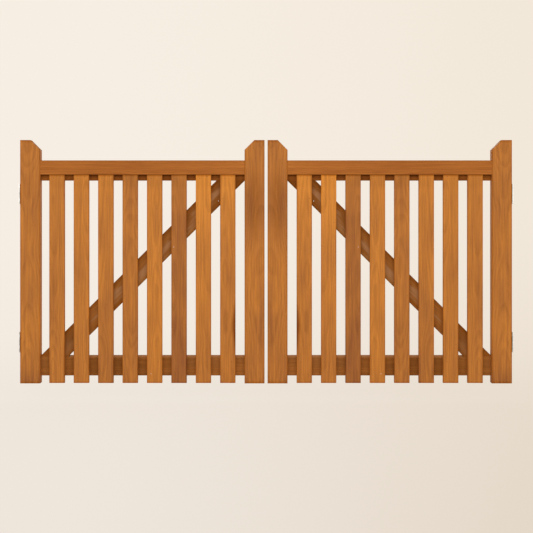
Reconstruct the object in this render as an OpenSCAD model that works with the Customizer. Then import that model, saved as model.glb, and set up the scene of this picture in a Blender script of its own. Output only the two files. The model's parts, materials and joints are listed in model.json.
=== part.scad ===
// Pair of paled timber driveway gates, hung on steel butt hinges.
// Each leaf is a mortised frame: two stiles, a rebated top rail that covers the tops of the pales,
// a thinner bottom rail and a diagonal brace behind the pales.
// The road side faces -Y, the leaves open towards +Y, and +Z is up.
// The origin is on the left lower post flap's outer face, at the height of that hinge's middle.

/* [Leaves] */
// Width of one leaf over its stiles
leaf_w = 1200; // [1000:10:1500]
// Height of a leaf over its stiles
leaf_h = 1195; // [900:5:1500]
// Gap between the two leaves when shut
meeting_gap = 15; // [8:1:30]
// Radius of the eased arrises on all timber
arris = 2; // [0.5:0.5:4]

/* [Stiles] */
// Width of a stile on the front
stile_w = 98; // [80:1:140]
// Thickness of a stile, front to back
stile_t = 45; // [38:1:70]
// Legs of the corner cut off the inner top of each stile
stile_clip = 48; // [20:1:70]

/* [Rails] */
// Height of the top rail
top_rail_h = 98; // [80:1:140]
// Stile that stands above the top rail
stile_horn = 100; // [60:1:200]
// Height of the rebate under the top rail's front lip, which the pales stand in
rebate_h = 28; // [15:1:40]
// Height of the bottom rail
bottom_rail_h = 98; // [80:1:140]
// Height of the bottom rail above the foot of the stiles
bottom_rail_lift = 36; // [10:1:80]
// Height of the sloped water-shedding edge on the front of the bottom rail
weathering_h = 9; // [2:1:15]
// Depth of the sloped edge, front to back
weathering_t = 12; // [2:1:15]

/* [Pales] */
// Number of pales in a leaf
pale_count = 8; // [4:1:11]
// Width of a pale
pale_w = 75; // [40:1:100]
// Thickness of a pale, which is also the depth of the rebate
pale_t = 20; // [14:1:24]
// Height of a pale's foot above the foot of the stiles
pale_foot = 2; // [0:1:40]
// Room above a pale in the rebate
pale_head_fit = 0.5; // [0:0.1:2]

/* [Brace] */
// Width of the brace, square across it
brace_w = 98; // [60:1:130]

/* [Joints] */
// Length of a rail's tenon
tenon_l = 60; // [30:1:70]
// Thickness of a tenon
tenon_t = 15; // [8:1:18]
// Rail cut away above and below a tenon
tenon_shoulder = 10; // [5:1:20]
// Clearance on each side of a tenon
mortise_fit = 0.2; // [0.1:0.1:0.5]
// Room for glue beyond the end of a tenon
mortise_relief = 2; // [1:0.5:5]

/* [Hinges] */
// Height of a hinge
hinge_h = 100; // [75:5:150]
// Width of a flap on its post or stile
flap_w = 30; // [26:1:36]
// Thickness of a flap
flap_t = 3; // [2.5:0.5:4]
// Diameter of the hinge pin
pin_d = 6; // [5:0.5:8]
// Number of knuckles in a hinge
knuckle_count = 5; // [3:2:7]
// Radial clearance of the pin in its knuckles
pin_fit = 0.05; // [0.02:0.01:0.1]
// Clearance between neighbouring knuckles
knuckle_fit = 0.4; // [0.2:0.1:1]
// Height from the edge of a rail to the middle of the hinge beside it
hinge_from_rail = 66; // [60:1:120]
// Clear space between the back of the leaf and the knuckles
barrel_stand_off = 2; // [1:0.5:5]
// Diameter of the head at each end of the pin
pin_head_d = 9; // [8.5:0.5:11]
// Thickness of a pin's head
pin_head_h = 1.5; // [1:0.5:3]
// Diameter of a screw hole
screw_d = 5.5; // [4.5:0.5:6]
// Diameter of the screw head that the countersink takes
screw_head_d = 10; // [8:0.5:11]
// Depth of the countersink
countersink_h = 1.8; // [1:0.1:2.2]
// Distance from the end of a flap to the row of screws beside it
screw_inset = 15; // [12:1:20]
// Distance between the two columns of screws in a flap
screw_column_gap = 14; // [12:1:18]
// Clearance round a flap in its recess
recess_fit = 0.3; // [0.1:0.1:1]

/* [Hidden] */
SIDES = ["left", "right"];
LEVELS = ["lower", "upper"];
FRAME = ["hanging_stile", "meeting_stile", "top_rail", "bottom_rail", "brace"];
HINGE = ["gate_flap", "post_flap", "hinge_pin"];

// Colours of the oiled timbers, which differ a little from board to board, and of the zinc plating
STILE_COLOR = "#b66f34";
RAIL_COLOR = "#aa642c";
BRACE_COLOR = "#94572a";
PALE_COLORS = ["#b87238", "#ba7234", "#b46f35", "#b46f34", "#c27834", "#a36434", "#c17a38", "#bd7637"];
STEEL_COLOR = "#b9bcbd";

// Points on a quarter of an eased arris
ARRIS_STEPS = 3;
// Facets of the pin, the knuckles and the screw holes
ROUND_FN = 48;
// How far a cutter runs past the face it opens
CUT = 1;

// Frame of a leaf: X from the hanging stile's outer edge, Y from the front face, Z from the foot
inner_w = leaf_w - 2 * stile_w;
top_rail_top = leaf_h - stile_horn;
top_rail_z = top_rail_top - top_rail_h;
bottom_rail_top = bottom_rail_lift + bottom_rail_h;
backing_t = stile_t - pale_t;

pale_gap = (inner_w - pale_count * pale_w) / (pale_count + 1);
pale_pitch = pale_w + pale_gap;
pale_top = top_rail_z + rebate_h - pale_head_fit;

tenon_y = pale_t + (backing_t - tenon_t) / 2;

// The brace runs from corner to corner between the rails, so its slope depends on its own width
brace_rise = top_rail_z - bottom_rail_top;
brace_angle = atan2(brace_rise, inner_w) + asin(brace_w / norm([inner_w, brace_rise]));
brace_seat = brace_w / sin(brace_angle);
brace_l = brace_rise / sin(brace_angle);

// Hinges: the flaps are parallel when the gate is shut, a pin's diameter apart
edge_gap = flap_t + pin_d;
knuckle_r = pin_d / 2 + flap_t;
pin_x = knuckle_r;
pin_y = stile_t + barrel_stand_off + knuckle_r;
flap_y = stile_t - flap_w;
flap_back = pin_y - knuckle_r - knuckle_fit;
knuckle_pitch = hinge_h / knuckle_count;
flap_mid_y = flap_y + flap_w / 2;
screw_row_gap = hinge_h - 2 * screw_inset;
hinge_z = [bottom_rail_top + hinge_from_rail, top_rail_z - hinge_from_rail];

total_w = 2 * (edge_gap + leaf_w) + meeting_gap;

// ---- outlines ----

// Unit vector along v
function unit(v) = v / norm(v);

// An arc of radius r in the corner at `here`, between its neighbours
function eased_corner(before, here, after, r) =
    let (
        a = unit(before - here),
        b = unit(after - here),
        half = acos(a * b) / 2,
        centre = here + unit(a + b) * r / sin(half),
        first = here + a * r / tan(half) - centre,
        last = here + b * r / tan(half) - centre,
        start = atan2(first[1], first[0]),
        sweep = atan2(first[0] * last[1] - first[1] * last[0], first * last)
    )
    [
        for (i = [0:ARRIS_STEPS])
            let (angle = start + sweep * i / ARRIS_STEPS)
            centre + r * [cos(angle), sin(angle)]
    ];

// The outline through the points, with each corner eased to its own radius, or left sharp at 0
function eased(points, radii) =
    let (n = len(points))
    [
        for (i = [0:n - 1]) each
            radii[i] == 0
            ? [points[i]]
            : eased_corner(points[(i + n - 1) % n], points[i], points[(i + 1) % n], radii[i])
    ];

function rectangle(w, t) = [[0, 0], [w, 0], [w, t], [0, t]];

// A straight board standing along Z, w wide and t thick, with its four long arrises eased
module eased_board(w, t, length) {
    linear_extrude(length) polygon(eased(rectangle(w, t), [arris, arris, arris, arris]));
}

// Runs a section drawn in Y and Z along X
module along_x(length) {
    rotate([90, 0, 90]) linear_extrude(length) children();
}

// Runs an outline drawn in X and Z back along Y, from y = 0
module along_y(depth) {
    translate([0, depth, 0]) rotate([90, 0, 0]) linear_extrude(depth) children();
}

// ---- timber ----

// The stopped holes for the two rails' tenons, in a stile whose inner edge is at x = stile_w
module mortises() {
    for (rail = [[bottom_rail_lift, bottom_rail_h], [top_rail_z, top_rail_h]])
        translate([
            stile_w - tenon_l - mortise_relief,
            tenon_y - mortise_fit,
            rail[0] + tenon_shoulder - mortise_fit
        ])
            cube([
                tenon_l + mortise_relief + CUT,
                tenon_t + 2 * mortise_fit,
                rail[1] - 2 * tenon_shoulder + 2 * mortise_fit
            ]);
}

// All that lies under z = 0 and inside the bevels along the front and back of that plane
module bevelled_end() {
    reach = leaf_h + stile_w;
    translate([-reach, 0, 0]) along_x(2 * reach)
        polygon([
            [-CUT, -reach], [stile_t + CUT, -reach], [stile_t + CUT, -arris - CUT],
            [stile_t - arris, 0], [arris, 0], [-CUT, -arris - CUT]
        ]);
}

// The stile with its inner edge at x = stile_w, its head clipped at 45 degrees and bevelled
module stile_blank() {
    difference() {
        intersection() {
            eased_board(stile_w, stile_t, leaf_h + CUT);
            translate([0, 0, leaf_h]) bevelled_end();
            translate([stile_w, 0, leaf_h - stile_clip]) rotate([0, 45, 0]) bevelled_end();
        }
        mortises();
    }
}

// The shallow recess that a gate flap is let into, stopped short of the front face
module flap_recess() {
    translate([-CUT, flap_y - recess_fit, -hinge_h / 2 - recess_fit])
        cube([flap_t + CUT, flap_w + recess_fit + CUT, hinge_h + 2 * recess_fit]);
}

module hanging_stile() {
    color(STILE_COLOR) difference() {
        stile_blank();
        for (z = hinge_z) translate([0, 0, z]) flap_recess();
    }
}

module meeting_stile() {
    color(STILE_COLOR) translate([leaf_w, 0, 0]) mirror([1, 0, 0]) stile_blank();
}

// The tenons on both ends of a rail whose section spans z to z + h
module tenons(z, h) {
    translate([stile_w - tenon_l, tenon_y, z + tenon_shoulder])
        cube([inner_w + 2 * tenon_l, tenon_t, h - 2 * tenon_shoulder]);
}

// Full thickness, with a lip on the front that covers the heads of the pales
module top_rail() {
    lip_z = top_rail_z + rebate_h;
    color(RAIL_COLOR) union() {
        translate([stile_w, 0, 0]) along_x(inner_w)
            polygon(eased(
                [
                    [0, lip_z], [pale_t, lip_z], [pale_t, top_rail_z],
                    [stile_t, top_rail_z], [stile_t, top_rail_top], [0, top_rail_top]
                ],
                [arris, 0, 0, arris, arris, arris]
            ));
        tenons(top_rail_z, top_rail_h);
    }
}

// Behind the pales and flush with the back of the stiles.
// The sloped front edge stops at the toe of the brace, which needs the full width to stand on.
module bottom_rail() {
    color(RAIL_COLOR) difference() {
        union() {
            translate([stile_w, 0, 0]) along_x(inner_w)
                polygon(eased(
                    [
                        [pale_t, bottom_rail_lift], [stile_t, bottom_rail_lift],
                        [stile_t, bottom_rail_top], [pale_t, bottom_rail_top]
                    ],
                    [0, arris, 0, 0]
                ));
            tenons(bottom_rail_lift, bottom_rail_h);
        }
        translate([stile_w + brace_seat, 0, 0]) along_x(inner_w - brace_seat)
            polygon([
                [pale_t - CUT, bottom_rail_top - weathering_h - CUT * weathering_h / weathering_t],
                [pale_t + weathering_t, bottom_rail_top],
                [pale_t - CUT, bottom_rail_top + CUT]
            ]);
    }
}

// A board at the brace's slope, cut level to sit on the bottom rail and under the top rail
module brace() {
    color(BRACE_COLOR) intersection() {
        translate([stile_w, pale_t, bottom_rail_top])
            rotate([0, 90 - brace_angle, 0])
                translate([0, 0, -brace_seat])
                    eased_board(brace_w, backing_t, brace_l + 2 * brace_seat);
        translate([stile_w, pale_t, bottom_rail_top])
            cube([inner_w, backing_t, brace_rise]);
    }
}

// Pale number i, counted from the hanging stile, with its head in the rebate
module pale(i) {
    color(PALE_COLORS[(i - 1) % len(PALE_COLORS)])
        translate([stile_w + pale_gap + (i - 1) * pale_pitch, 0, pale_foot])
            eased_board(pale_w, pale_t, pale_top - pale_foot);
}

// ---- hinges ----
// Frame of a hinge: X from the post's face, Y from the leaf's front face, Z from the hinge's middle

// The height where knuckle k starts, counted from 0 at the bottom
function knuckle_z(k) = k * knuckle_pitch - hinge_h / 2 + (k == 0 ? 0 : knuckle_fit / 2);

// The height of knuckle k, whose outer ends are level with the flap
function knuckle_h(k) =
    knuckle_pitch - knuckle_fit * (k == 0 || k == knuckle_count - 1 ? 0.5 : 1);

// Holes through a flap at x = 0 to flap_t, countersunk from the x = flap_t side
module screw_holes() {
    for (column = [-1, 1], row = [-1, 1])
        translate([0, flap_mid_y + column * screw_column_gap / 2, row * screw_row_gap / 2])
            rotate([0, 90, 0]) {
                translate([0, 0, -CUT]) cylinder(h = flap_t + 2 * CUT, d = screw_d, $fn = ROUND_FN);
                translate([0, 0, flap_t - countersink_h])
                    cylinder(h = countersink_h, d1 = screw_d, d2 = screw_head_d, $fn = ROUND_FN);
            }
}

// A flap on the face x = 0, rolled round the pin at every second knuckle from `first`
module flap(first) {
    difference() {
        union() {
            translate([0, flap_y, -hinge_h / 2]) cube([flap_t, flap_back - flap_y, hinge_h]);
            for (k = [first:2:knuckle_count - 1]) translate([0, 0, knuckle_z(k)]) {
                translate([0, flap_back - CUT, 0]) cube([flap_t, pin_y - flap_back + CUT, knuckle_h(k)]);
                translate([pin_x, pin_y, 0]) cylinder(h = knuckle_h(k), r = knuckle_r, $fn = ROUND_FN);
            }
        }
        translate([pin_x, pin_y, -hinge_h / 2 - CUT])
            cylinder(h = hinge_h + 2 * CUT, r = pin_d / 2 + pin_fit, $fn = ROUND_FN);
        screw_holes();
    }
}

// Fixed to the post, with the end knuckles
module post_flap() {
    color(STEEL_COLOR) flap(0);
}

// Let into the hanging stile, facing the post flap
module gate_flap() {
    color(STEEL_COLOR) translate([2 * pin_x, 0, 0]) mirror([1, 0, 0]) flap(1);
}

// A plain pin with a flat head at each end
module hinge_pin() {
    color(STEEL_COLOR) translate([pin_x, pin_y, 0]) {
        cylinder(h = hinge_h + 2 * pin_head_h, d = pin_d, center = true, $fn = ROUND_FN);
        for (end = [0, 1]) mirror([0, 0, end]) translate([0, 0, hinge_h / 2])
            cylinder(h = pin_head_h, d = pin_head_d, $fn = ROUND_FN);
    }
}

// ---- placing ----

// Puts what is drawn from the left post's face into the part's frame, mirrored for the right leaf
module on_side(side) {
    translate([0, -flap_mid_y, -hinge_z[0]])
        if (side == "left") children();
        else translate([total_w, 0, 0]) mirror([1, 0, 0]) children();
}

module in_leaf(side) {
    on_side(side) translate([edge_gap, 0, 0]) children();
}

module in_hinge(side, level) {
    on_side(side) translate([0, 0, hinge_z[level]]) children();
}

for (side = SIDES) {
    in_leaf(side) hanging_stile();
    in_leaf(side) meeting_stile();
    in_leaf(side) top_rail();
    in_leaf(side) bottom_rail();
    in_leaf(side) brace();
    for (i = [1:pale_count]) {
        in_leaf(side) pale(i);
    }
    for (level = [0, 1]) {
        hinge = str(side, "_", LEVELS[level]);
        in_hinge(side, level) gate_flap();
        in_hinge(side, level) post_flap();
        in_hinge(side, level) hinge_pin();
    }
}
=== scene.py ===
"""A pair of paled driveway gates: oiled hardwood, zinc-plated hinges, fixings and a pale studio."""

import json
import math
from collections import namedtuple

import bmesh
import bpy
from bpy.props import FloatProperty, FloatVectorProperty, PointerProperty
from mathutils import Matrix, Vector


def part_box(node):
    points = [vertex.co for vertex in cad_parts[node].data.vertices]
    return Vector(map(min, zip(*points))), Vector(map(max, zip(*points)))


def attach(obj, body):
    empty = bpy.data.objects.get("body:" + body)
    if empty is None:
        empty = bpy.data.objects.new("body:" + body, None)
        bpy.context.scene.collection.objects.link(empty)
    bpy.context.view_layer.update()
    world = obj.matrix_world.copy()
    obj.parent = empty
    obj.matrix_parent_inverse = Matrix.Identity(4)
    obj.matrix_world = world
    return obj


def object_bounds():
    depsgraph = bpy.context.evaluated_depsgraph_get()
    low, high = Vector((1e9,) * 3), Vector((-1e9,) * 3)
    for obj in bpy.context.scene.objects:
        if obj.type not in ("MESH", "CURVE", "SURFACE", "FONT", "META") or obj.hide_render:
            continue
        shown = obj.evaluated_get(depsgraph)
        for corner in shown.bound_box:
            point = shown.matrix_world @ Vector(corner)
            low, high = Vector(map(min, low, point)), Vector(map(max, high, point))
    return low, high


bl_info = {
    "name": "Paled Driveway Gates",
    "version": (1, 0, 0),
    "blender": (4, 5, 0),
    "location": "3D View > Sidebar > Gates",
    "description": "Finishes, fixings and studio for a pair of paled timber driveway gates",
    "category": "Object",
}

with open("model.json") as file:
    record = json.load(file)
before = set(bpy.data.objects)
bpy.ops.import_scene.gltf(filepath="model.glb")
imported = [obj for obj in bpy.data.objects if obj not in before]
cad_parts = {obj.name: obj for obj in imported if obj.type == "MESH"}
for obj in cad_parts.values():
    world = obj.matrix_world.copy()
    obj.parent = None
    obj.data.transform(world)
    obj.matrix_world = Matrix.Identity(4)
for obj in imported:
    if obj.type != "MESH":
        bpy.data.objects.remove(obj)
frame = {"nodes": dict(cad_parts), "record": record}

SIDES = ("left", "right")
LEVELS = ("lower", "upper")
CAD_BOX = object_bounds()
PALE_COUNT = sum(name.startswith("left_pale_") for name in frame["nodes"])

# The line between the leaves, the front of the pales and the height of the stiles' feet
CENTRE_X = (CAD_BOX[0].x + CAD_BOX[1].x) / 2
FRONT_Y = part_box("left_pale_1")[0].y
FOOT_Z = CAD_BOX[0].z

# Pales with a nail that the oil hasn't covered, at the foot or at the brace, and the stained one
BARE_AT_FOOT = 5
BARE_AT_BRACE = 6
STAINED_PALE = 8

# How fine the figure of the wood is: waves to the metre across, through and along the grain
CLOUD_WAVES = (11, 11, 4.0)
STREAK_WAVES = (95, 95, 3.2)
FIBRE_WAVES = (620, 620, 9)
PORE_WAVES = (1500, 1500, 60)

# Linear colours that the timber goes towards in its late wood, where it is worn, and where light is
# painted on its upward faces
LATE_WOOD = (0.12, 0.03, 0.006)
BARE_WOOD = (0.39, 0.19, 0.08)
TOPLIT_WOOD = (0.50, 0.22, 0.08)

# What is left of each linear colour where the timber is darkened
STAINED = (0.42, 0.30, 0.18)
# Painted shade along the arrises and towards the ends of boards
RIMMED = (0.82, 0.68, 0.36)
# Where shade is painted under the top rail's lip
SHADED = (0.33, 0.24, 0.03)
END_GRAINED = (0.62, 0.50, 0.40)


def paint(code):
    """Linear red, green and blue of a colour written as #rrggbb."""
    parts = [int(code[i:i + 2], 16) / 255 for i in (1, 3, 5)]
    return tuple(c / 12.92 if c <= 0.04045 else ((c + 0.055) / 1.055) ** 2.4 for c in parts)


# ---- settings ----


class GateTimber(bpy.types.PropertyGroup):
    """Colours and figure of the oiled boards."""

    golden: FloatVectorProperty(
        name="Golden", description="Lightest tone of the stiles and pales",
        subtype="COLOR", size=3, min=0, max=1, default=paint("#c67e38"))
    russet: FloatVectorProperty(
        name="Russet", description="Darkest and reddest tone of the stiles and pales",
        subtype="COLOR", size=3, min=0, max=1, default=paint("#a16434"))
    amber: FloatVectorProperty(
        name="Amber", description="Lightest tone of the top rail",
        subtype="COLOR", size=3, min=0, max=1, default=paint("#b66f32"))
    chestnut: FloatVectorProperty(
        name="Chestnut", description="Darkest tone of the top rail",
        subtype="COLOR", size=3, min=0, max=1, default=paint("#975626"))
    umber: FloatVectorProperty(
        name="Umber", description="Lightest tone of the bottom rail and the brace",
        subtype="COLOR", size=3, min=0, max=1, default=paint("#9a5f2a"))
    peat: FloatVectorProperty(
        name="Peat", description="Darkest tone of the bottom rail and the brace",
        subtype="COLOR", size=3, min=0, max=1, default=paint("#79471a"))
    stile_tones: FloatVectorProperty(
        name="Stile tones", description="Hanging and meeting stile, 0 golden to 1 russet",
        size=2, default=(0.40, 0.55))
    rail_tones: FloatVectorProperty(
        name="Rail tones", description="Top and bottom rail, 0 lightest to 1 darkest",
        size=2, default=(0.20, -0.11))
    brace_tone: FloatProperty(
        name="Brace tone", description="The brace, 0 lightest to 1 darkest", default=0.30)
    pale_tones: FloatVectorProperty(
        name="Pale tones", description="Pales from the hanging stile on, 0 golden to 1 russet",
        size=8, default=(0.30, 0.22, 0.35, 0.42, 0.05, 0.87, 0.15, 0.30))
    pale_fades: FloatVectorProperty(
        name="Pale fades", description="How much more russet each pale's foot is than its head",
        size=8, default=(0.00, 0.20, 0.50, 0.05, -0.15, 0.45, 0.60, 0.25))
    pale_heads: FloatVectorProperty(
        name="Pale heads", description="How much more golden each pale's head is than the rest",
        size=8, default=(0, 0, 0.05, 0, 0, 0, 0.45, 0.45))
    pale_figures: FloatVectorProperty(
        name="Pale figures", description="A number for each pale, for a figure of its own",
        size=8, default=(71, 52, 43, 44, 45, 46, 97, 68))
    ring_pitch: FloatProperty(
        name="Ring pitch", description="Distance from one growth ring to the next",
        unit="LENGTH", default=0.0045, min=0.001)
    arris_reach: FloatProperty(
        name="Arris reach", description="Width of the darker line along the eased arrises",
        unit="LENGTH", default=0.005, min=0.0005)


class GateSteel(bpy.types.PropertyGroup):
    """Colours of the plated hinges and their fixings."""

    bright: FloatVectorProperty(
        name="Bright zinc", description="Fresh plating",
        subtype="COLOR", size=3, min=0, max=1, default=paint("#dcdcda"))
    dull: FloatVectorProperty(
        name="Dull zinc", description="Plating that has gone dull outdoors",
        subtype="COLOR", size=3, min=0, max=1, default=paint("#8e9395"))
    oiled: FloatVectorProperty(
        name="Oiled nail", description="Nail heads that the wood oil has covered",
        subtype="COLOR", size=3, min=0, max=1, default=paint("#8f5a2c"))
    oiled_dark: FloatVectorProperty(
        name="Dark oil", description="Oil that has gathered on a nail head",
        subtype="COLOR", size=3, min=0, max=1, default=paint("#4a2c14"))


class GateFixings(bpy.types.PropertyGroup):
    """Sizes of the nails and screws."""

    nail_head: FloatProperty(
        name="Nail head", description="Diameter of a nail's head",
        unit="LENGTH", default=0.0034, min=0.001)
    nail_proud: FloatProperty(
        name="Nail crown", description="How far the middle of a nail's head stands out of the pale",
        unit="LENGTH", default=0.0003, min=0)
    screw_head: FloatProperty(
        name="Screw head", description="Diameter of a countersunk screw's head",
        unit="LENGTH", default=0.0096, min=0.002)
    screw_shank: FloatProperty(
        name="Screw shank", description="Diameter of a screw under its head",
        unit="LENGTH", default=0.005, min=0.001)


class GateStudio(bpy.types.PropertyGroup):
    """Camera, lamps and background."""

    camera_distance: FloatProperty(
        name="Camera distance", description="From the lens to the front of the pales",
        unit="LENGTH", default=5.0, min=1)
    camera_height: FloatProperty(
        name="Camera height", description="Above the feet of the stiles",
        unit="LENGTH", default=0.797)
    view_width: FloatProperty(
        name="View width", description="Width of the picture at the front of the pales",
        unit="LENGTH", default=2.6165, min=0.1)
    view_height: FloatProperty(
        name="View height", description="Middle of the picture above the feet of the stiles",
        unit="LENGTH", default=0.574)
    ground_gap: FloatProperty(
        name="Ground gap", description="From the floor to the feet of the stiles",
        unit="LENGTH", default=0.08, min=0)
    upper_left: FloatVectorProperty(
        name="Upper left", description="Background colour above and to the left of the gate",
        subtype="COLOR", size=3, min=0, max=1, default=paint("#f7eee3"))
    upper_right: FloatVectorProperty(
        name="Upper right", description="Background colour above and to the right of the gate",
        subtype="COLOR", size=3, min=0, max=1, default=paint("#f0e5d5"))
    lower_left: FloatVectorProperty(
        name="Lower left", description="Background colour below and to the left of the gate",
        subtype="COLOR", size=3, min=0, max=1, default=paint("#ede4da"))
    lower_right: FloatVectorProperty(
        name="Lower right", description="Background colour below and to the right of the gate",
        subtype="COLOR", size=3, min=0, max=1, default=paint("#ddcfbc"))
    ambient: FloatProperty(
        name="Ambient", description="Strength of the even light from all round",
        default=0.5, min=0)
    key_power: FloatProperty(
        name="Key power", description="Power of the large lamp at the front",
        unit="POWER", default=50, min=0)
    fill_power: FloatProperty(
        name="Fill power", description="Power of each lamp at the front left and right",
        unit="POWER", default=26, min=0)
    back_power: FloatProperty(
        name="Back power", description="Power of the lamp behind the gate",
        unit="POWER", default=60, min=0)


# ---- node trees ----


class Tree:
    """A shader node tree, with short calls for the nodes that the finishes are made of."""

    def __init__(self, tree):
        self.tree = tree

    def add(self, kind, inputs=None, **settings):
        """A new node with these settings, its inputs set or linked by name or number."""
        node = self.tree.nodes.new(kind)
        node.location = (200 * (len(self.tree.nodes) % 12), -260 * (len(self.tree.nodes) // 12))
        for name, value in settings.items():
            setattr(node, name, value)
        for name, value in (inputs or {}).items():
            self.feed(node.inputs[name], value)
        return node

    def feed(self, socket, value):
        """Links an input to another node's output, or gives it a plain value."""
        if isinstance(value, bpy.types.NodeSocket):
            self.tree.links.new(value, socket)
        elif socket.type == "RGBA":
            socket.default_value = (*value[:3], 1)
        else:
            socket.default_value = value

    def math(self, operation, *values):
        """The result of a math node."""
        return self.add("ShaderNodeMath", dict(enumerate(values)), operation=operation).outputs[0]

    def vector(self, operation, *values):
        """The result of a vector math node, a number where the operation gives one."""
        node = self.add("ShaderNodeVectorMath", dict(enumerate(values)), operation=operation)
        return node.outputs["Value" if operation in ("LENGTH", "DOT_PRODUCT") else "Vector"]

    def parts(self, vector):
        """The X, Y and Z of a vector."""
        return self.add("ShaderNodeSeparateXYZ", {"Vector": vector}).outputs[:3]

    def joined(self, x, y, z):
        """A vector from its X, Y and Z."""
        return self.add("ShaderNodeCombineXYZ", {"X": x, "Y": y, "Z": z}).outputs[0]

    def noise(self, place, stretch, detail=2, roughness=0.5):
        """Smooth noise around 0.5, with this many waves to the metre along each axis."""
        scaled = self.vector("MULTIPLY", place, stretch)
        node = self.add(
            "ShaderNodeTexNoise",
            {"Vector": scaled, "Scale": 1, "Detail": detail, "Roughness": roughness})
        return node.outputs["Fac"]

    def ease(self, value, low, high, start=0.0, end=1.0):
        """An S-curve from start to end as the value goes from low to high."""
        node = self.add(
            "ShaderNodeMapRange",
            {"Value": value, "From Min": low, "From Max": high, "To Min": start, "To Max": end},
            interpolation_type="SMOOTHSTEP")
        return node.outputs["Result"]

    def sway(self, value, gain, start=0.0):
        """start, plus gain times how far the value is from 0.5."""
        return self.math("MULTIPLY_ADD", self.math("SUBTRACT", value, 0.5), gain, start)

    def mix(self, factor, first, second, blend="MIX"):
        """A mix of two colours, which runs on past either end where the factor does."""
        node = self.add(
            "ShaderNodeMix", {0: factor, 6: first, 7: second},
            data_type="RGBA", blend_type=blend, clamp_factor=False)
        return node.outputs[2]


def new_group(name, inputs, outputs):
    """A shader node group with named sockets, as its tree, its given values and its results."""
    group = bpy.data.node_groups.new(name, "ShaderNodeTree")
    for socket, (kind, default) in inputs.items():
        made = group.interface.new_socket(socket, in_out="INPUT", socket_type="NodeSocket" + kind)
        made.default_value = default
    for socket, kind in outputs.items():
        group.interface.new_socket(socket, in_out="OUTPUT", socket_type="NodeSocket" + kind)
    tree = Tree(group)
    given = tree.add("NodeGroupInput").outputs
    results = tree.add("NodeGroupOutput").inputs
    return tree, given, results


def shared(name, build):
    """The node group of that name, built the first time that a material needs it."""
    if name not in bpy.data.node_groups:
        build(name)
    return bpy.data.node_groups[name]


def board_lie(name):
    """Turns a point of either leaf into a board's frame: across, through and along the grain."""
    tree, given, results = new_group(
        name,
        {"Centre X": ("Float", 0), "Middle": ("Vector", (0, 0, 0)), "Turn": ("Float", 0)},
        {"Place": "Vector", "End Grain": "Float", "Upward": "Float"})
    source = tree.add("ShaderNodeTexCoord").outputs
    x, y, z = tree.parts(source["Object"])
    outwards = tree.math("SUBTRACT", x, given["Centre X"])
    side = tree.math("SIGN", outwards)
    folded = tree.joined(tree.math("ABSOLUTE", outwards), y, z)
    centred = tree.vector("SUBTRACT", folded, given["Middle"])
    nx, ny, nz = tree.parts(source["Normal"])
    faced = tree.joined(tree.math("MULTIPLY", nx, side), ny, nz)

    def stood(vector):
        turned = tree.add(
            "ShaderNodeVectorRotate", {"Vector": vector, "Angle": given["Turn"]},
            rotation_type="Y_AXIS")
        return turned.outputs["Vector"]

    tree.feed(results["Place"], stood(centred))
    endwise = tree.math("ABSOLUTE", tree.parts(stood(faced))[2])
    tree.feed(results["End Grain"], tree.ease(endwise, 0.55, 0.95))
    tree.feed(results["Upward"], tree.ease(nz, 0.3, 0.75))


def timber_grain(name):
    """Figure of the wood as a solid: clouds and streaks of tone, growth rings, fibres and pores."""
    tree, given, results = new_group(
        name,
        {"Place": ("Vector", (0, 0, 0)), "Seed": ("Float", 0),
         "Pith": ("Vector", (0.03, 0.1, 0)), "Ring Pitch": ("Float", 0.0045)},
        {"Clouds": "Float", "Streaks": "Float", "Rings": "Float", "Fibres": "Float",
         "Pores": "Float"})
    seed = given["Seed"]
    shift = tree.vector("MULTIPLY", tree.joined(seed, seed, seed), (1.7, 2.9, 4.1))
    place = tree.vector("ADD", given["Place"], shift)
    tree.feed(results["Clouds"], tree.noise(place, CLOUD_WAVES))
    streaks = tree.noise(place, STREAK_WAVES, 3, 0.6)
    tree.feed(results["Streaks"], streaks)
    tree.feed(results["Fibres"], tree.noise(place, FIBRE_WAVES, 2, 0.6))
    tree.feed(results["Pores"], tree.ease(tree.noise(place, PORE_WAVES, 1), 0.60, 0.72))

    # The pith wanders, so that the rings show as tall arches on the boards' faces
    drift = tree.joined(
        tree.sway(tree.noise(place, (1, 1, 2.2)), 0.05),
        tree.sway(tree.noise(place, (2, 2, 1.6)), 0.05), 0)
    px, py, _ = tree.parts(
        tree.vector("ADD", tree.vector("SUBTRACT", given["Place"], given["Pith"]), drift))
    radius = tree.vector("LENGTH", tree.joined(px, py, 0))
    ringed = tree.math("DIVIDE", tree.sway(streaks, 0.004, radius), given["Ring Pitch"])
    part = tree.math("FRACT", ringed)
    late = tree.math("MULTIPLY", tree.ease(part, 0.25, 0.85), tree.ease(part, 0.90, 1.0, 1.0, 0.0))
    tree.feed(results["Rings"], late)


def board_edges(name):
    """Marks the eased long arrises of a board and the last of it before its ends, where shade is
    painted.
    """
    tree, given, results = new_group(
        name,
        {"Place": ("Vector", (0, 0, 0)), "Half Size": ("Vector", (0.04, 0.01, 0.5)),
         "Reach": ("Float", 0.004)},
        {"Rim": "Float"})
    inset = tree.vector(
        "SUBTRACT", given["Half Size"], tree.vector("ABSOLUTE", given["Place"]))
    dx, dy, dz = tree.parts(tree.vector("MAXIMUM", inset, (0, 0, 0)))
    uneven = tree.sway(tree.noise(given["Place"], (60, 60, 14)), 0.003)
    from_arris = tree.math("ADD", tree.vector("LENGTH", tree.joined(dx, dy, 0)), uneven)
    from_end = tree.math("MULTIPLY_ADD", dz, 0.4, uneven)
    nearest = tree.math("MINIMUM", from_arris, from_end)
    tree.feed(
        results["Rim"], tree.ease(tree.math("DIVIDE", nearest, given["Reach"]), 0.0, 1.0, 1.0, 0.0))


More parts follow.
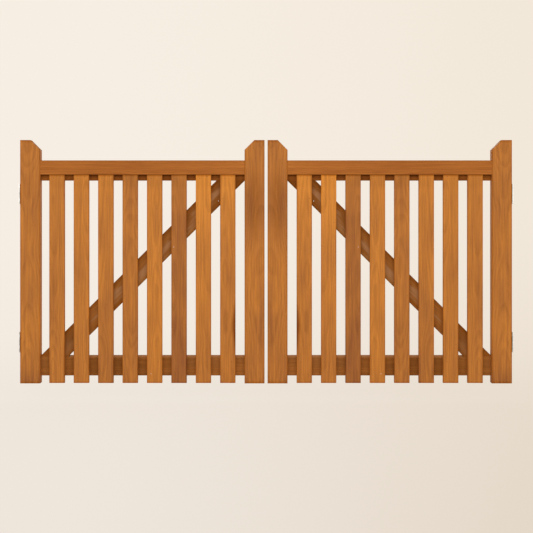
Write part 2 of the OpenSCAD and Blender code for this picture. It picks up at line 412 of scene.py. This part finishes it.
def lip_shade(name):
    """Marks where shade is painted: the recess under the top rail's lip, the lip's lower edge and
    the heads below it.
    """
    tree, given, results = new_group(
        name, {"Lip Height": ("Float", 1), "Pale Back": ("Float", 0)},
        {"Recess": "Float", "Heads": "Float"})
    _, y, z = tree.parts(tree.add("ShaderNodeTexCoord").outputs["Object"])
    above = tree.math("SUBTRACT", z, given["Lip Height"])
    under = tree.ease(above, 0.0, 0.0025, 1.0, 0.0)
    behind = tree.ease(tree.math("SUBTRACT", y, given["Pale Back"]), 0.001, 0.003, 1.0, 0.0)
    deepest = tree.ease(above, -0.010, 0.0, 0.62, 1.0)
    tree.feed(
        results["Recess"], tree.math("MULTIPLY", deepest, tree.math("MULTIPLY", under, behind)))
    # On the heads, a dark line of painted shade right under the lip and weaker painted shade below
    # it
    contact = tree.ease(above, -0.009, -0.001, 0.0, 0.30)
    sheltered = tree.ease(above, -0.080, -0.045, 0.0, 0.11)
    tree.feed(results["Heads"], tree.math("ADD", contact, sheltered))


def oiled_timber(name):
    """Colour, sheen and relief of oiled heartwood from its figure and its marks.

    Tone goes from 0, the light tone, to 1, the dark tone, and may run on past either.
    Fade makes the lower end darker and the upper end lighter by half of it each.
    Smoke darkens a band of the board, or lightens it where it is below 0. The band's middle is
    at Smoke At, from -1 at the lower end to 1 at the upper, and it reaches Smoke Reach each way.
    Stain darkens a spot around the point Stain At, with the half widths Stain Size.
    Worn lets bare wood through in streaky patches, and painted light pales the faces that look
    upwards.
    """
    tree, given, results = new_group(
        name,
        {"Place": ("Vector", (0, 0, 0)), "Half Length": ("Float", 0.5),
         "Light Tone": ("Color", (1, 1, 1, 1)), "Dark Tone": ("Color", (1, 1, 1, 1)),
         "Tone": ("Float", 0.5), "Fade": ("Float", 0), "Worn": ("Float", 0),
         "Smoke": ("Float", 0), "Smoke At": ("Float", 0), "Smoke Reach": ("Float", 0.35),
         "Stain": ("Float", 0), "Stain At": ("Vector", (0, 0, 0)),
         "Stain Size": ("Vector", (1, 1, 1)),
         "Upward": ("Float", 0), "Bleach": ("Float", 0.40),
         "Clouds": ("Float", 0.5), "Streaks": ("Float", 0.5), "Rings": ("Float", 0),
         "Fibres": ("Float", 0.5), "Pores": ("Float", 0), "Rim": ("Float", 0),
         "Shade": ("Float", 0), "End Grain": ("Float", 0)},
        {"Colour": "Color", "Roughness": "Float", "Height": "Float"})

    # How dark the board is here
    along = tree.math("DIVIDE", tree.parts(given["Place"])[2], given["Half Length"])
    faded = tree.math("MULTIPLY", given["Fade"], tree.math("MULTIPLY", along, -0.5))
    tone = tree.math("ADD", given["Tone"], faded)
    from_smoke = tree.math("ABSOLUTE", tree.math("SUBTRACT", along, given["Smoke At"]))
    smoke = tree.math(
        "MULTIPLY", given["Smoke"], tree.ease(from_smoke, 0.0, given["Smoke Reach"], 1.0, 0.0))
    tone = tree.math("ADD", tone, smoke)
    tone = tree.sway(given["Clouds"], 1.3, tone)
    tone = tree.sway(given["Streaks"], 2.0, tone)
    colour = tree.mix(tone, given["Light Tone"], given["Dark Tone"])

    # Rings, fibres and pores, with the rings stronger on the end grain
    ring_depth = tree.math("MULTIPLY_ADD", given["End Grain"], 0.30, 0.15)
    depth = tree.math(
        "MULTIPLY_ADD", given["Rings"], ring_depth, tree.sway(given["Fibres"], 0.45))
    depth = tree.math("MULTIPLY_ADD", given["Pores"], 0.22, depth)
    colour = tree.mix(depth, colour, LATE_WOOD)

    # Worn patches, which keep away from the smoke, and painted light on the faces that look upwards
    patchy = tree.sway(given["Streaks"], 0.35, given["Clouds"])
    bare = tree.math("MULTIPLY", given["Worn"], tree.ease(patchy, 0.50, 0.62))
    bare = tree.math("MULTIPLY", bare, tree.math("SUBTRACT", 1.0, smoke))
    colour = tree.mix(bare, colour, BARE_WOOD)
    toplit = tree.math("MULTIPLY", given["Upward"], given["Bleach"])
    colour = tree.mix(toplit, colour, TOPLIT_WOOD)

    # The stain, the painted shade along the arrises and under the lip, and the end grain
    from_stain = tree.vector("LENGTH", tree.vector(
        "DIVIDE", tree.vector("SUBTRACT", given["Place"], given["Stain At"]),
        given["Stain Size"]))
    stained = tree.math(
        "MULTIPLY", given["Stain"],
        tree.ease(tree.sway(given["Streaks"], 1.2, from_stain), 0.3, 1.0, 1.0, 0.0))
    for amount, left in (
            (stained, STAINED), (given["Rim"], RIMMED), (given["Shade"], SHADED),
            (given["End Grain"], END_GRAINED)):
        colour = tree.mix(amount, colour, tree.mix(1.0, colour, left, "MULTIPLY"))
    tree.feed(results["Colour"], colour)

    sheen = tree.sway(given["Streaks"], 0.16, 0.52)
    sheen = tree.math("MULTIPLY_ADD", given["Pores"], 0.15, sheen)
    sheen = tree.math("MULTIPLY_ADD", given["Rim"], 0.15, sheen)
    tree.feed(results["Roughness"], tree.math("MULTIPLY_ADD", given["End Grain"], 0.2, sheen))
    relief = tree.math("SUBTRACT", given["Fibres"], given["Pores"])
    tree.feed(results["Height"], tree.math("MULTIPLY_ADD", given["Rings"], 0.4, relief))


def zinc_plate(name):
    """Zinc plating: faint spangles, dull clouds and fine rolling marks."""
    tree, given, results = new_group(
        name,
        {"Bright": ("Color", (1, 1, 1, 1)), "Dull": ("Color", (0.5, 0.5, 0.5, 1)),
         "Dulling": ("Float", 0.4)},
        {"Colour": "Color", "Roughness": "Float", "Height": "Float"})
    place = tree.add("ShaderNodeTexCoord").outputs["Object"]
    spangle = tree.add(
        "ShaderNodeTexVoronoi", {"Vector": place, "Scale": 420.0}).outputs["Color"]
    facet = tree.parts(spangle)[0]
    clouds = tree.noise(place, (40, 40, 40), 3, 0.6)
    marks = tree.noise(place, (1800, 1800, 90), 2)
    dulled = tree.sway(clouds, 1.2, given["Dulling"])
    dulled = tree.math("MULTIPLY_ADD", facet, 0.22, dulled)
    tree.feed(results["Colour"], tree.mix(dulled, given["Bright"], given["Dull"]))
    rough = tree.math("MULTIPLY_ADD", dulled, 0.25, 0.26)
    tree.feed(results["Roughness"], tree.sway(marks, 0.12, rough))
    tree.feed(results["Height"], tree.math("MULTIPLY_ADD", facet, 0.3, marks))


def oiled_steel(name):
    """Steel under wood oil, brown where it has gathered and thin on the crowns."""
    tree, given, results = new_group(
        name, {"Oiled": ("Color", (1, 1, 1, 1)), "Dark": ("Color", (0, 0, 0, 1))},
        {"Colour": "Color", "Roughness": "Float", "Height": "Float"})
    place = tree.add("ShaderNodeTexCoord").outputs["Object"]
    blots = tree.noise(place, (700, 700, 700), 3)
    tree.feed(
        results["Colour"],
        tree.mix(tree.ease(blots, 0.42, 0.66), given["Oiled"], given["Dark"]))
    tree.feed(results["Roughness"], tree.sway(blots, 0.3, 0.45))
    tree.feed(results["Height"], blots)


# ---- materials ----

Board = namedtuple("Board", "middle turn half")


def folded(point):
    """A point with X measured outwards from the line between the leaves, so both leaves agree."""
    return Vector((abs(point.x - CENTRE_X), point.y, point.z))


def grain_direction(mesh):
    """Direction of the longest edge at which two faces meet at an angle, upwards or outwards."""
    seen = {}
    for face in mesh.polygons:
        corners = [folded(mesh.vertices[i].co).to_tuple(5) for i in face.vertices]
        for ends in zip(corners, corners[1:] + corners[:1]):
            seen.setdefault(frozenset(ends), []).append(face.normal)
    # Normals that agree more than this belong to one face
    flat = 0.99
    sharp = []
    for ends, normals in seen.items():
        if len(ends) == 2 and (len(normals) == 1 or normals[0].dot(normals[1]) < flat):
            first, second = sorted(ends)
            sharp.append(Vector(first) - Vector(second))
    longest = max(sharp, key=lambda edge: edge.length).normalized()
    return longest if longest.z + 0.5 * longest.x > 0 else -longest


def board_of(node):
    """A board's middle in the folded frame, the turn that stands it up, and its half size."""
    mesh = frame["nodes"][node].data
    along = grain_direction(mesh)
    turn = math.atan2(-along.x, along.z)
    upright = Matrix.Rotation(turn, 3, "Y")
    stood = [upright @ folded(v.co) for v in mesh.vertices]
    low = Vector(min(p[i] for p in stood) for i in range(3))
    high = Vector(max(p[i] for p in stood) for i in range(3))
    return Board(upright.inverted() @ ((low + high) / 2), turn, (high - low) / 2)


def new_material(name):
    """A material with a Principled BSDF, as the material, its tree and that shader."""
    material = bpy.data.materials.new(name)
    material.use_nodes = True
    tree = Tree(material.node_tree)
    return material, tree, material.node_tree.nodes["Principled BSDF"]


def group_node(tree, name, build, **inputs):
    """A node of that shared group, with its inputs fed: an underscore stands for a space."""
    node = tree.add("ShaderNodeGroup", node_tree=shared(name, build))
    for socket, value in inputs.items():
        tree.feed(node.inputs[socket.replace("_", " ")], value)
    return node.outputs


def feed_surface(tree, surface, look, strength, distance):
    """Feeds a shader from a group's colour, roughness and height."""
    bump = tree.add(
        "ShaderNodeBump", {"Strength": strength, "Distance": distance, "Height": look["Height"]})
    tree.feed(surface.inputs["Base Color"], look["Colour"])
    tree.feed(surface.inputs["Roughness"], look["Roughness"])
    tree.feed(surface.inputs["Normal"], bump.outputs["Normal"])


def timber(
        name, node, colours, tone, fade, seed, pith,
        gloss=0.04, rim=1.0, shaded=None, **marks):
    """Oiled timber for one board of each leaf, with the grain along the board.

    node is the board on the right leaf, and the left one is its mirror image.
    seed and pith, the middle of the tree it was sawn from, give it a figure of its own.
    rim widens or narrows the dark line of painted shade along its arrises.
    shaded is "Recess" or "Heads" where the board lies under the top rail's lip and gets painted
    shade.
    The marks are further inputs of the oiled timber group, such as Worn or Smoke.
    """
    settings = bpy.context.scene.gate_timber
    light_tone, dark_tone = colours
    board = board_of(node)
    material, tree, surface = new_material(name)
    lie = group_node(
        tree, "Board lie", board_lie, Centre_X=CENTRE_X, Middle=board.middle, Turn=board.turn)
    place = lie["Place"]
    grain = group_node(
        tree, "Timber grain", timber_grain,
        Place=place, Seed=seed, Pith=pith, Ring_Pitch=settings.ring_pitch)
    edges = group_node(
        tree, "Board edges", board_edges, Place=place, Half_Size=board.half,
        Reach=settings.arris_reach * rim)
    shade = 0.0
    if shaded:
        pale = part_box("left_pale_1")
        shade = group_node(
            tree, "Lip shade", lip_shade, Lip_Height=pale[1].z, Pale_Back=pale[1].y)[shaded]
    oiled = group_node(
        tree, "Oiled timber", oiled_timber,
        Place=place, Half_Length=board.half.z, Light_Tone=light_tone, Dark_Tone=dark_tone,
        Tone=tone, Fade=fade, Clouds=grain["Clouds"], Streaks=grain["Streaks"],
        Rings=grain["Rings"], Fibres=grain["Fibres"], Pores=grain["Pores"], Rim=edges["Rim"],
        Shade=shade, End_Grain=lie["End Grain"], Upward=lie["Upward"], **marks)
    feed_surface(tree, surface, oiled, strength=0.35, distance=0.0003)
    surface.inputs["Specular IOR Level"].default_value = gloss
    return material


def zinc(name, dulling):
    """Zinc-plated steel, from 0, bright, to 1, dull."""
    settings = bpy.context.scene.gate_steel
    material, tree, surface = new_material(name)
    plate = group_node(
        tree, "Zinc plate", zinc_plate, Bright=settings.bright, Dull=settings.dull, Dulling=dulling)
    feed_surface(tree, surface, plate, strength=0.2, distance=0.0001)
    surface.inputs["Metallic"].default_value = 1
    return material


def nail_steel(name):
    """Steel nail heads under wood oil."""
    settings = bpy.context.scene.gate_steel
    material, tree, surface = new_material(name)
    oiled = group_node(
        tree, "Oiled steel", oiled_steel, Oiled=settings.oiled, Dark=settings.oiled_dark)
    feed_surface(tree, surface, oiled, strength=0.3, distance=0.0001)
    surface.inputs["Metallic"].default_value = 0.3
    return material


def finish(node_end, material):
    """Gives that node of both leaves the material."""
    for side in SIDES:
        for slot in frame["nodes"][f"{side}_{node_end}"].material_slots:
            slot.material = material


# ---- finishes ----


class GATE_OT_stiles(bpy.types.Operator):
    """Finishes the hanging and meeting stiles"""

    bl_idname = "gate.stiles"
    bl_label = "Stiles"

    def execute(self, context):
        settings = context.scene.gate_timber
        colours = (settings.golden, settings.russet)
        hanging, meeting = settings.stile_tones
        finish("hanging_stile", timber(
            "hanging stile timber", "right_hanging_stile", colours, hanging, -0.1,
            seed=15, pith=(0.02, 0.11, 0), rim=1.5, Smoke=0.5, Smoke_At=-1.0, Smoke_Reach=0.15))
        # Its stain is on the front face, above the middle
        finish("meeting_stile", timber(
            "meeting stile timber", "right_meeting_stile", colours, meeting, 0.0,
            seed=12, pith=(-0.03, 0.12, 0), rim=1.5, Smoke=0.30, Smoke_At=0.42, Smoke_Reach=0.4,
            Stain=0.35, Stain_At=(0, -0.0225, 0.29), Stain_Size=(0.045, 0.03, 0.24)))
        return {"FINISHED"}


class GATE_OT_rails(bpy.types.Operator):
    """Finishes the top and bottom rails"""

    bl_idname = "gate.rails"
    bl_label = "Rails"

    def execute(self, context):
        settings = context.scene.gate_timber
        top, bottom = settings.rail_tones
        finish("top_rail", timber(
            "top rail timber", "right_top_rail", (settings.amber, settings.chestnut), top, 0.0,
            seed=29, pith=(0.05, 0.09, 0), gloss=0.02, shaded="Recess",
            Smoke=0.38, Smoke_At=0.0, Smoke_Reach=1.0))
        # Its upward faces get stronger painted light than the other boards'
        finish("bottom_rail", timber(
            "bottom rail timber", "right_bottom_rail", (settings.umber, settings.peat), bottom, 0.0,
            seed=30, pith=(-0.04, 0.10, 0), gloss=0.02, Worn=0.1,
            Bleach=0.6, Smoke=0.7, Smoke_At=0.25, Smoke_Reach=0.9))
        return {"FINISHED"}


class GATE_OT_braces(bpy.types.Operator):
    """Finishes the diagonal braces"""

    bl_idname = "gate.braces"
    bl_label = "Braces"

    def execute(self, context):
        settings = context.scene.gate_timber
        colours = (settings.umber, settings.peat)
        # Its rims are widened into broad painted shade along its edges, and its head gets painted
        # shade under the lip
        finish("brace", timber(
            "brace timber", "right_brace", colours, settings.brace_tone, -0.75,
            seed=151, pith=(0.01, 0.07, 0), gloss=0.02, rim=5.5, shaded="Heads", Worn=0.75,
            Smoke=0.62, Smoke_At=-0.77, Smoke_Reach=0.25))
        return {"FINISHED"}


class GATE_OT_pales(bpy.types.Operator):
    """Finishes the pales, each with its own tone and figure"""

    bl_idname = "gate.pales"
    bl_label = "Pales"

    def execute(self, context):
        settings = context.scene.gate_timber
        colours = (settings.golden, settings.russet)
        for number in range(1, PALE_COUNT + 1):
            which = (number - 1) % len(settings.pale_tones)
            # Each was sawn from another part of the tree
            pith = (0.03 * math.sin(number * 2.4), 0.06 + 0.02 * math.cos(number * 1.7), 0)
            marks = {"Smoke": -settings.pale_heads[which], "Smoke_At": 1.0, "Smoke_Reach": 0.6}
            if number == STAINED_PALE:
                # Down the lower half of its inner edge
                marks.update(
                    Stain=1.0, Stain_At=(-0.0375, -0.01, -0.24), Stain_Size=(0.020, 0.05, 0.16))
            finish(f"pale_{number}", timber(
                f"pale {number} timber", f"right_pale_{number}", colours,
                settings.pale_tones[which], settings.pale_fades[which],
                seed=settings.pale_figures[which], pith=pith, shaded="Heads", **marks))
        return {"FINISHED"}


class GATE_OT_hinges(bpy.types.Operator):
    """Finishes the hinges' flaps and pins"""

    bl_idname = "gate.hinges"
    bl_label = "Hinges"

    def execute(self, context):
        flap = zinc("hinge flap zinc", 0.2)
        pin = zinc("hinge pin zinc", 0.1)
        for level in LEVELS:
            finish(f"{level}_post_flap", flap)
            finish(f"{level}_gate_flap", flap)
            finish(f"{level}_hinge_pin", pin)
        return {"FINISHED"}


# ---- studio ----


def seen_directly(tree):
    """1 for what the camera sees, directly or in a reflection, and 0 for what only gives light."""
    path = tree.add("ShaderNodeLightPath").outputs
    seen = tree.math("MAXIMUM", path["Is Camera Ray"], path["Is Glossy Ray"])
    return tree.math("MAXIMUM", seen, path["Is Transmission Ray"])


def backdrop_colour(name):
    """Pale colour of the background in a direction, warmer to the right and darker below."""
    settings = bpy.context.scene.gate_studio
    tree, given, results = new_group(
        name, {"Direction": ("Vector", (0, 1, 0))}, {"Colour": "Color"})
    x, _, z = tree.parts(tree.vector("NORMALIZE", given["Direction"]))
    across = tree.ease(x, -0.2, 0.5)
    upper = tree.mix(across, settings.upper_left, settings.upper_right)
    lower = tree.mix(across, settings.lower_left, settings.lower_right)
    tree.feed(results["Colour"], tree.mix(tree.ease(z, 0.04, -0.36), upper, lower))


def backdrop(tree, direction):
    """Background colour in that direction."""
    return group_node(tree, "Backdrop colour", backdrop_colour, Direction=direction)["Colour"]


def viewpoint(settings):
    """Place of the lens, a little to the right of the line between the leaves."""
    sidestep = 0.0022
    return Vector((
        CENTRE_X + sidestep, FRONT_Y - settings.camera_distance, FOOT_Z + settings.camera_height))


def make_floor(settings):
    """A wide round floor that keeps a soft shadow near the gate and fades into the background."""
    floor_radius = 40.0
    shadow_near, shadow_far, shadow_share = 0.6, 3.5, 0.09
    mesh = bpy.data.meshes.new("floor")
    disc = bmesh.new()
    bmesh.ops.create_circle(disc, cap_ends=True, radius=floor_radius, segments=96)
    bmesh.ops.translate(
        disc, verts=disc.verts, vec=(CENTRE_X, FRONT_Y, FOOT_Z - settings.ground_gap))
    disc.to_mesh(mesh)
    disc.free()
    floor = bpy.data.objects.new("floor", mesh)
    bpy.context.scene.collection.objects.link(floor)

    material = bpy.data.materials.new("floor")
    material.use_nodes = True
    tree = Tree(material.node_tree)
    nodes = material.node_tree.nodes
    nodes.remove(nodes["Principled BSDF"])
    place = tree.add("ShaderNodeTexCoord").outputs["Object"]
    colour = backdrop(tree, tree.vector("SUBTRACT", place, viewpoint(settings)))
    x, y, _ = tree.parts(place)
    aside = tree.math("SUBTRACT", x, CENTRE_X)
    behind = tree.math("SUBTRACT", y, FRONT_Y)
    distance = tree.vector("LENGTH", tree.joined(aside, behind, 0))
    matt_share = tree.ease(distance, shadow_near, shadow_far, shadow_share, 0.0)
    glow = tree.add("ShaderNodeEmission", {"Color": colour, "Strength": 1.0})
    matt = tree.add("ShaderNodeBsdfDiffuse", {"Color": colour})
    shown = tree.add("ShaderNodeMixShader", {0: matt_share, 1: glow.outputs[0], 2: matt.outputs[0]})
    lit = tree.add(
        "ShaderNodeMixShader", {0: seen_directly(tree), 1: matt.outputs[0], 2: shown.outputs[0]})
    tree.feed(nodes["Material Output"].inputs["Surface"], lit.outputs[0])
    mesh.materials.append(material)


def make_background(settings):
    """A pale world that lights the scene more weakly than the camera sees it."""
    world = bpy.data.worlds.new("studio")
    bpy.context.scene.world = world
    world.use_nodes = True
    tree = Tree(world.node_tree)
    nodes = world.node_tree.nodes
    nodes.remove(nodes["Background"])
    direction = tree.add("ShaderNodeTexCoord").outputs["Generated"]
    shown = tree.add(
        "ShaderNodeBackground", {"Color": backdrop(tree, direction), "Strength": 1.0})
    light = tree.add(
        "ShaderNodeBackground", {"Color": (1.0, 1.0, 1.0), "Strength": settings.ambient})
    both = tree.add(
        "ShaderNodeMixShader", {0: seen_directly(tree), 1: light.outputs[0], 2: shown.outputs[0]})
    tree.feed(nodes["World Output"].inputs["Surface"], both.outputs[0])


def make_lamps(settings):
    """Four large soft lamps aimed at the middle of the gate."""
    middle = (CAD_BOX[0] + CAD_BOX[1]) / 2
    # Each has its name, power, width in metres and place as seen from the middle of the gate
    for name, power, size, offset in (
            ("key", settings.key_power, 2.6, (0, -3.8, 1.5)),
            ("left fill", settings.fill_power, 2.2, (-2.6, -3.4, 0.4)),
            ("right fill", settings.fill_power, 2.2, (2.6, -3.4, 0.4)),
            ("back", settings.back_power, 2.6, (0.8, 3.6, 2.0))):
        data = bpy.data.lights.new(name, "AREA")
        data.shape = "SQUARE"
        data.size = size
        data.energy = power
        lamp = bpy.data.objects.new(name, data)
        lamp.location = middle + Vector(offset)
        lamp.rotation_mode = "QUATERNION"
        lamp.rotation_quaternion = (-Vector(offset)).to_track_quat("-Z", "Y")
        lamp.visible_camera = False
        bpy.context.scene.collection.objects.link(lamp)


def make_camera(settings):
    """A level camera in front of the gate, with the lens shifted to frame it."""
    data = bpy.data.cameras.new("camera")
    data.sensor_width = 36.0
    data.lens = data.sensor_width * settings.camera_distance / settings.view_width
    data.shift_y = (settings.view_height - settings.camera_height) / settings.view_width
    camera = bpy.data.objects.new("camera", data)
    camera.location = viewpoint(settings)
    camera.rotation_euler = (math.radians(90), 0, 0)
    bpy.context.scene.collection.objects.link(camera)
    bpy.context.scene.camera = camera


class GATE_OT_stage(bpy.types.Operator):
    """Makes the floor, the background, the lamps and the camera"""

    bl_idname = "gate.stage"
    bl_label = "Studio"

    def execute(self, context):
        settings = context.scene.gate_studio
        make_floor(settings)
        make_background(settings)
        make_lamps(settings)
        make_camera(settings)
        context.scene.view_settings.view_transform = "Standard"
        return {"FINISHED"}


# ---- fixings ----


def new_piece(name, shape, body, material):
    """Makes an object from a bmesh and lets it ride on a body."""
    mesh = bpy.data.meshes.new(name)
    shape.to_mesh(mesh)
    shape.free()
    mesh.materials.append(material)
    piece = bpy.data.objects.new(name, mesh)
    bpy.context.scene.collection.objects.link(piece)
    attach(piece, body)
    return piece


def add_turned(shape, profile, place, towards, segments=16):
    """Adds a turned shape: profile is (radius, height) pairs from its foot to its crown."""
    axis = Vector(towards).to_track_quat("Z", "Y").to_matrix()
    rings = []
    for radius, height in profile:
        if radius == 0:
            rings.append([shape.verts.new(place + axis @ Vector((0, 0, height)))])
            continue
        rings.append([
            shape.verts.new(place + axis @ Vector((
                radius * math.cos(math.tau * i / segments),
                radius * math.sin(math.tau * i / segments), height)))
            for i in range(segments)])
    for low, high in zip(rings, rings[1:]):
        for i in range(segments):
            corners = [low[i % len(low)], low[(i + 1) % len(low)],
                       high[(i + 1) % len(high)], high[i % len(high)]]
            face = shape.faces.new(list(dict.fromkeys(corners)))
            face.smooth = True


def brace_height(side, x):
    """Height of the middle of a leaf's brace at x."""
    brace = board_of(f"{side}_brace")
    away = abs(x - CENTRE_X) - brace.middle.x
    return brace.middle.z - away / math.tan(brace.turn)


def nail_places(side):
    """Where the nails of a leaf go, as those that the oil covers and the bare ones.

    Each pale has two through its head, two through its foot and one at the brace.
    The brace has one more nail of its own, just beside the last pale.
    """
    off_middle = 0.0175           # from a pale's middle line to its head and foot nails
    head_shares = (0.35, 0.65)    # outer and inner head nail, of the height with a backing
    foot_rises = (0.011, 0.070)   # outer and inner foot nail, above the bottom rail's foot
    brace_aside = 0.0255          # from a pale's middle line to its nail at the brace
    brace_drop = 0.05             # from the brace's middle line down to that nail
    clear = 0.02                  # kept between that nail and the rails
    beyond_pale = 0.009           # from the last pale's edge to the brace's own nail
    own_drop = 0.042              # from the brace's middle line down to its own nail

    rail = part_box(f"{side}_bottom_rail")
    backing_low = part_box(f"{side}_top_rail")[0].z
    outwards = -1 if side == "left" else 1
    oiled, bare = [], []
    for number in range(1, PALE_COUNT + 1):
        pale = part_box(f"{side}_pale_{number}")
        middle = (pale[0].x + pale[1].x) / 2
        outer_x = middle + outwards * off_middle
        inner_x = middle - outwards * off_middle
        head = pale[1].z - backing_low
        oiled.append(Vector((outer_x, FRONT_Y, backing_low + head_shares[0] * head)))
        oiled.append(Vector((inner_x, FRONT_Y, backing_low + head_shares[1] * head)))
        foot_nail = Vector((outer_x, FRONT_Y, rail[0].z + foot_rises[0]))
        (bare if number == BARE_AT_FOOT else oiled).append(foot_nail)
        oiled.append(Vector((inner_x, FRONT_Y, rail[0].z + foot_rises[1])))
        brace_x = middle + outwards * brace_aside
        crossing = brace_height(side, brace_x) - brace_drop
        if rail[1].z < crossing - clear and crossing + clear < backing_low:
            brace_nail = Vector((brace_x, FRONT_Y, crossing))
            (bare if number == BARE_AT_BRACE else oiled).append(brace_nail)

    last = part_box(f"{side}_pale_{PALE_COUNT}")
    beside = last[1].x + beyond_pale if side == "right" else last[0].x - beyond_pale
    brace_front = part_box(f"{side}_brace")[0].y
    bare.append(Vector((beside, brace_front, brace_height(side, beside) - own_drop)))
    return oiled, bare


class GATE_OT_nails(bpy.types.Operator):
    """Nails the pales to the rails and the brace"""

    bl_idname = "gate.nails"
    bl_label = "Nails"

    def execute(self, context):
        sizes = context.scene.gate_fixings
        radius, crown = sizes.nail_head / 2, sizes.nail_proud
        shank, depth = radius * 0.5, -0.004
        # Up the shank, out under the head, round its rim and over its crown
        profile = (
            (0, depth), (shank, depth), (shank, -0.0008), (radius, -0.0002),
            (radius, crown * 0.3), (radius * 0.85, crown * 0.8), (0, crown))
        steels = (nail_steel("oiled nails"), zinc("bare nails", 0.0))
        for side in SIDES:
            for kind, places, steel in zip(("oiled", "bare"), nail_places(side), steels):
                shape = bmesh.new()
                for place in places:
                    add_turned(shape, profile, place, (0, -1, 0))
                new_piece(f"{side}_{kind}_nails", shape, f"{side}_leaf", steel)
        return {"FINISHED"}


def screw_places(side):
    """Where the screws of a leaf's two gate flaps go, just under the faces by the post flaps."""
    sunk = 0.0002
    inwards = 1 if side == "left" else -1
    places = []
    for level in LEVELS:
        pattern = next(
            m for m in frame["record"]["mounts"] if m["name"] == f"{side}_{level}_post_screws")
        _, y, z = pattern["pos_m"]
        half_row = pattern["dims"]["spacing_x_mm"] / 2000
        half_column = pattern["dims"]["spacing_y_mm"] / 2000
        plate = [
            v.co.x for v in frame["nodes"][f"{side}_{level}_gate_flap"].data.vertices
            if abs(v.co.y - y) < half_row]
        face_x = min(plate) if side == "left" else max(plate)
        for across in (-half_row, half_row):
            for up in (-half_column, half_column):
                places.append(Vector((face_x + inwards * sunk, y + across, z + up)))
    return places


def add_cross(shape, place, towards, turn, head):
    """Adds the tapered cross that a driver fits, from above the head down into it."""
    axis = Vector(towards).to_track_quat("Z", "Y").to_matrix() @ Matrix.Rotation(turn, 3, "Z")
    outlines = []
    # Its floor and its top: height, then its arms' reach and half width as shares of the head
    for height, reach, half in ((-0.0013, 0.26, 0.07), (0.0005, 0.6, 0.15)):
        arm, half_width = head * reach, head * half
        outline = []
        for quarter in range(4):
            swing = Matrix.Rotation(quarter * math.pi / 2, 3, "Z")
            for corner in ((arm, -half_width), (arm, half_width), (half_width, half_width)):
                outline.append(
                    shape.verts.new(place + axis @ swing @ Vector((*corner, height))))
        outlines.append(outline)
    low, high = outlines
    shape.faces.new(low[::-1])
    shape.faces.new(high)
    for i in range(len(low)):
        after = (i + 1) % len(low)
        shape.faces.new((low[i], low[after], high[after], high[i]))


def cut(piece, shape):
    """Cuts a shape out of a piece and keeps the result as the piece's mesh."""
    mesh = bpy.data.meshes.new("cutter")
    shape.to_mesh(mesh)
    shape.free()
    cutter = bpy.data.objects.new("cutter", mesh)
    bpy.context.scene.collection.objects.link(cutter)
    modifier = piece.modifiers.new("cross", "BOOLEAN")
    modifier.operation = "DIFFERENCE"
    modifier.solver = "EXACT"
    modifier.object = cutter
    bpy.context.view_layer.update()
    evaluated = piece.evaluated_get(bpy.context.evaluated_depsgraph_get())
    piece.data = bpy.data.meshes.new_from_object(evaluated)
    piece.modifiers.clear()
    bpy.data.objects.remove(cutter)
    if len(piece.data.polygons) == 0:
        raise RuntimeError(f"nothing is left of {piece.name} after the cut")


class GATE_OT_screws(bpy.types.Operator):
    """Screws the gate flaps to the hanging stiles, with cross-recessed countersunk screws"""

    bl_idname = "gate.screws"
    bl_label = "Screws"

    def execute(self, context):
        sizes = context.scene.gate_fixings
        material = zinc("screw zinc", 0.05)
        head, shank = sizes.screw_head / 2, sizes.screw_shank / 2
        land, depth = head * 0.97, -0.006
        # Up the shank, out along the countersink, round the rim and across the flat top
        profile = (
            (0, depth), (shank, depth), (shank, -0.0022), (land, -0.0003), (head, -0.0001),
            (land, 0), (0, 0))
        for side in SIDES:
            shape = bmesh.new()
            bits = bmesh.new()
            towards = (-1, 0, 0) if side == "left" else (1, 0, 0)
            for place in screw_places(side):
                # Each screw of a leaf was driven to another turn
                turn = 40 * place.y + 3 * place.z
                add_turned(shape, profile, place, towards, segments=32)
                add_cross(bits, place, towards, turn, head)
            piece = new_piece(f"{side}_flap_screws", shape, f"{side}_leaf", material)
            cut(piece, bits)
        return {"FINISHED"}


# ---- panel and registration ----


class GATE_PT_panel(bpy.types.Panel):
    """The gate's pieces and settings"""

    bl_label = "Paled driveway gates"
    bl_idname = "GATE_PT_panel"
    bl_space_type = "VIEW_3D"
    bl_region_type = "UI"
    bl_category = "Gates"

    def draw(self, context):
        for operator in OPERATORS:
            self.layout.operator(operator.bl_idname)
        for settings in SETTINGS:
            box = self.layout.box()
            for name in SETTINGS[settings].__annotations__:
                box.prop(getattr(context.scene, settings), name)


SETTINGS = {
    "gate_timber": GateTimber,
    "gate_steel": GateSteel,
    "gate_fixings": GateFixings,
    "gate_studio": GateStudio,
}
OPERATORS = (
    GATE_OT_stiles, GATE_OT_rails, GATE_OT_braces, GATE_OT_pales, GATE_OT_hinges,
    GATE_OT_nails, GATE_OT_screws, GATE_OT_stage,
)


def register():
    for cls in (*SETTINGS.values(), *OPERATORS, GATE_PT_panel):
        bpy.utils.register_class(cls)
    for name, cls in SETTINGS.items():
        setattr(bpy.types.Scene, name, PointerProperty(type=cls))


def unregister():
    for name in SETTINGS:
        delattr(bpy.types.Scene, name)
    for cls in reversed((*SETTINGS.values(), *OPERATORS, GATE_PT_panel)):
        bpy.utils.unregister_class(cls)


def main():
    """Builds every piece."""
    register()
    bpy.ops.gate.stiles()
    bpy.ops.gate.rails()
    bpy.ops.gate.braces()
    bpy.ops.gate.pales()
    bpy.ops.gate.hinges()
    bpy.ops.gate.nails()
    bpy.ops.gate.screws()
    bpy.ops.gate.stage()


if __name__ == "__main__":
    main()
